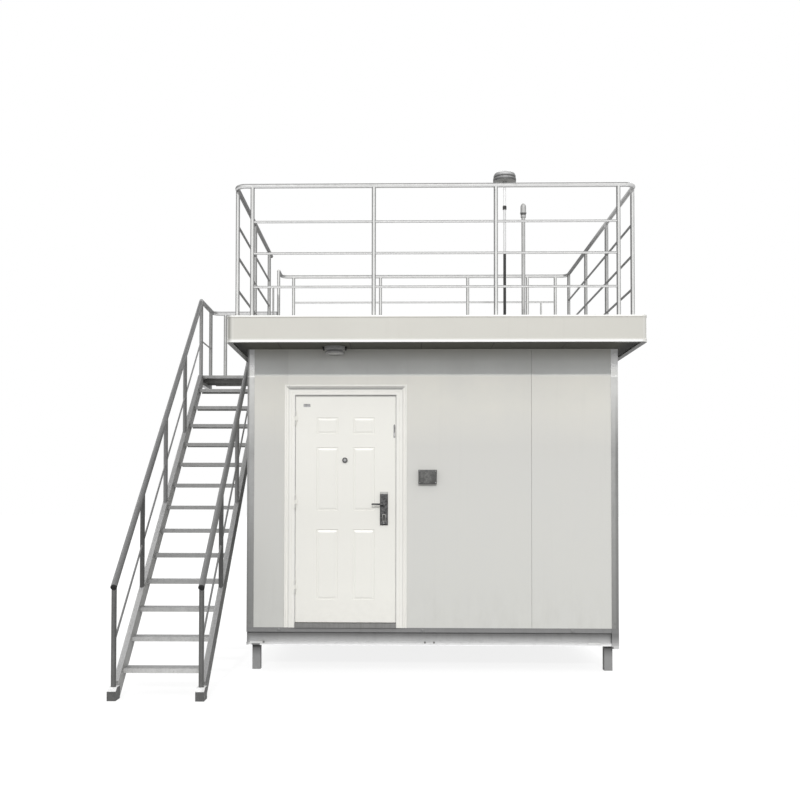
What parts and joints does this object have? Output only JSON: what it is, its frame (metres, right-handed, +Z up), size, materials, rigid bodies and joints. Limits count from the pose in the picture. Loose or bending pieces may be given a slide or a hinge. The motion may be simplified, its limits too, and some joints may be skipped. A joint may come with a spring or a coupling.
{
  "type": "steel site cabin with roof deck and outside stair",
  "caption": "Single-storey steel-panel cabin on legs with a moulded door, a railed roof deck and an outside steel stair with a landing.",
  "frame": {"origin": "bottom centre of the whole bounding box, on the ground", "axes": "+X to the right along the door wall, +Y from the door wall to the back, +Z up"},
  "size_m": [4.1535, 4.3302, 4.724],
  "materials": {
    "galvanised_steel": "satin galvanised",
    "stair_steel": "weathered galvanised",
    "wall_panel": "matt",
    "floor_board": "matt",
    "ceiling_white": "matt",
    "soffit_sheet": "matt",
    "roof_sheet": "matt",
    "fascia_paint": "satin",
    "door_paint": "satin",
    "sill_plate": "worn",
    "dark_hardware": "satin",
    "dark_plastic": "matt",
    "lamp_plastic": "satin",
    "dark_pipe": "satin",
    "vent_steel": "satin"
  },
  "bodies": {
    "root": {"legs": "galvanised_steel", "base_front": "galvanised_steel", "base_back": "galvanised_steel", "base_left": "galvanised_steel", "base_right": "galvanised_steel", "floor_panel": "floor_board", "corner_posts": "galvanised_steel", "front_wall_left": "wall_panel", "front_wall_over_door": "wall_panel", "front_wall_middle": "wall_panel", "front_wall_right": "wall_panel", "left_wall": "wall_panel", "right_wall": "wall_panel", "back_wall": "wall_panel", "ceiling": "ceiling_white", "soffit": "soffit_sheet", "roof_slab": "roof_sheet", "fascia_front": "fascia_paint", "fascia_back": "fascia_paint", "fascia_left": "fascia_paint", "fascia_right": "fascia_paint", "fascia_corners": "fascia_paint", "door_frame": "door_paint", "door_sill": "sill_plate", "hinge_knuckles_frame": "door_paint", "wall_box": "dark_plastic", "soffit_lamp": "lamp_plastic", "front_railing": "galvanised_steel", "right_railing": "galvanised_steel", "back_railing": "galvanised_steel", "left_railing": "galvanised_steel", "rear_left_railing": "galvanised_steel", "flue": "dark_pipe", "vent_pipe": "vent_steel", "stair_feet": "stair_steel", "stringer_left": "stair_steel", "stringer_right": "stair_steel", "stair_treads": "stair_steel", "handrail_left": "galvanised_steel", "handrail_right": "galvanised_steel", "landing_frame": "stair_steel", "landing_deck": "stair_steel", "landing_guard": "galvanised_steel", "landing_brackets": "stair_steel"},
    "door": {"door_leaf": "door_paint", "hinge_knuckles_leaf": "door_paint", "lock_plate": "dark_hardware", "peephole": "dark_hardware"},
    "lever": {"door_lever": "dark_hardware"}
  },
  "joints": [
    {"name": "door_hinge", "type": "hinge", "parent": "root", "child": "door", "pos_m": [-0.84775, -0.79393, 1.385], "axis": [0, 0, -1], "range_deg": [0, 105]},
    {"name": "lever_turn", "type": "hinge", "parent": "door", "child": "lever", "pos_m": [-0.08225, -0.79693, 1.425], "axis": [0, -1, 0], "range_deg": [0, 45], "stiffness_Nm_per_rad": 1}
  ]
}
